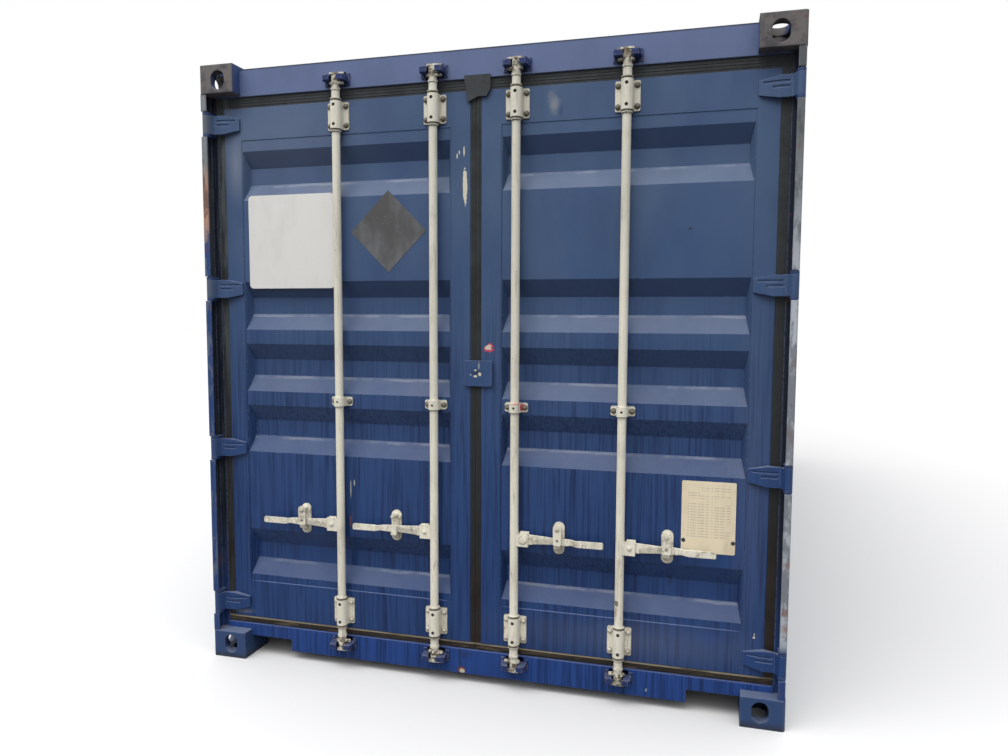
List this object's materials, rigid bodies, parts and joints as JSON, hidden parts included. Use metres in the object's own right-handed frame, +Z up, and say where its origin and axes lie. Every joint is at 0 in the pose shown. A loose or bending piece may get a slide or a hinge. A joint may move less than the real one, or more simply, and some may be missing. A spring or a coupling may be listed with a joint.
{
  "type": "shipping container",
  "caption": "Steel dry-freight container, 20 ft long, with corrugated walls, hollow corner castings and hinged double doors locked by upright bars with cams, keepers and handles.",
  "frame": {"origin": "on the ground, under the middle of the container", "axes": "+X to the right when facing the doors, +Y away from the doors along the length, +Z up; the doors are at the -Y end"},
  "size_m": [2.438, 6.058, 2.591],
  "materials": {
    "blue_paint": "worn satin blue paint",
    "door_paint": "worn satin blue paint with water streaks",
    "header_paint": "worn satin blue paint",
    "post_paint": "worn blue paint, rubbed and rusty at the edges",
    "casting_paint": "worn paint on cast steel",
    "cream_paint": "zinc-coated and oversprayed, off-white",
    "seal_rubber": "matte black rubber",
    "base_coat": "matte underbody coating",
    "floor_wood": "scuffed plywood",
    "vent_plastic": "painted plastic",
    "pin_steel": "dull steel"
  },
  "bodies": {
    "frame": {"top_corner_castings": "casting_paint", "bottom_corner_castings": "casting_paint", "door_end_posts": "post_paint", "front_end_posts": "blue_paint", "door_header": "header_paint", "door_sill": "blue_paint", "front_top_rail": "blue_paint", "front_bottom_rail": "blue_paint", "top_side_rails": "blue_paint", "bottom_side_rails": "blue_paint", "cross_members": "base_coat", "fork_pockets": "blue_paint", "floor_panel": "floor_wood", "left_wall": "blue_paint", "right_wall": "blue_paint", "front_wall": "blue_paint", "roof_panel": "blue_paint", "roof_corner_plates": "blue_paint", "side_vents": "vent_plastic", "cam_keepers": "header_paint", "hinge_lugs": "post_paint", "hinge_pins": "pin_steel"},
    "left_door": {"left_door_frame": "door_paint", "left_door_panel": "door_paint", "left_gasket": "seal_rubber", "left_hinge_blades": "door_paint", "left_bar_brackets": "cream_paint", "left_handle_retainers": "cream_paint"},
    "right_door": {"right_door_frame": "door_paint", "right_door_panel": "door_paint", "right_gasket": "seal_rubber", "right_hinge_blades": "door_paint", "right_bar_brackets": "cream_paint", "right_handle_retainers": "cream_paint", "centre_plate": "door_paint"},
    "bar_1": {"locking_bar_1": "cream_paint", "handle_1": "cream_paint"},
    "bar_2": {"locking_bar_2": "cream_paint", "handle_2": "cream_paint"},
    "bar_3": {"locking_bar_3": "cream_paint", "handle_3": "cream_paint"},
    "bar_4": {"locking_bar_4": "cream_paint", "handle_4": "cream_paint"},
    "hasp_1_body": {"hasp_1": "cream_paint"},
    "hasp_3_body": {"hasp_3": "cream_paint"},
    "hasp_4_body": {"hasp_4": "cream_paint"}
  },
  "joints": [
    {"name": "left_door_swing", "type": "hinge", "parent": "frame", "child": "left_door", "pos_m": [-1.203, -3.009, 1.298], "axis": [0, 0, -1], "range_deg": [0, 262]},
    {"name": "right_door_swing", "type": "hinge", "parent": "frame", "child": "right_door", "pos_m": [1.203, -3.009, 1.298], "axis": [0, 0, 1], "range_deg": [0, 262]},
    {"name": "bar_1_turn", "type": "hinge", "parent": "left_door", "child": "bar_1", "pos_m": [-0.596, -2.995, 0.64], "axis": [0, 0, -1], "range_deg": [-110, 0]},
    {"name": "bar_2_turn", "type": "hinge", "parent": "left_door", "child": "bar_2", "pos_m": [-0.171, -2.995, 0.64], "axis": [0, 0, -1], "range_deg": [-110, 0]},
    {"name": "bar_3_turn", "type": "hinge", "parent": "right_door", "child": "bar_3", "pos_m": [0.171, -2.995, 0.64], "axis": [0, 0, 1], "range_deg": [-110, 0]},
    {"name": "bar_4_turn", "type": "hinge", "parent": "right_door", "child": "bar_4", "pos_m": [0.596, -2.995, 0.64], "axis": [0, 0, 1], "range_deg": [-110, 0]},
    {"name": "hasp_1_swing", "type": "hinge", "parent": "left_door", "child": "hasp_1_body", "pos_m": [-0.775, -3.009, 0.694], "axis": [0, 1, 0], "range_deg": [-100, 0]},
    {"name": "hasp_3_swing", "type": "hinge", "parent": "right_door", "child": "hasp_3_body", "pos_m": [0.35, -3.009, 0.694], "axis": [0, -1, 0], "range_deg": [-100, 0]},
    {"name": "hasp_4_swing", "type": "hinge", "parent": "right_door", "child": "hasp_4_body", "pos_m": [0.775, -3.009, 0.694], "axis": [0, -1, 0], "range_deg": [-100, 0]}
  ]
}
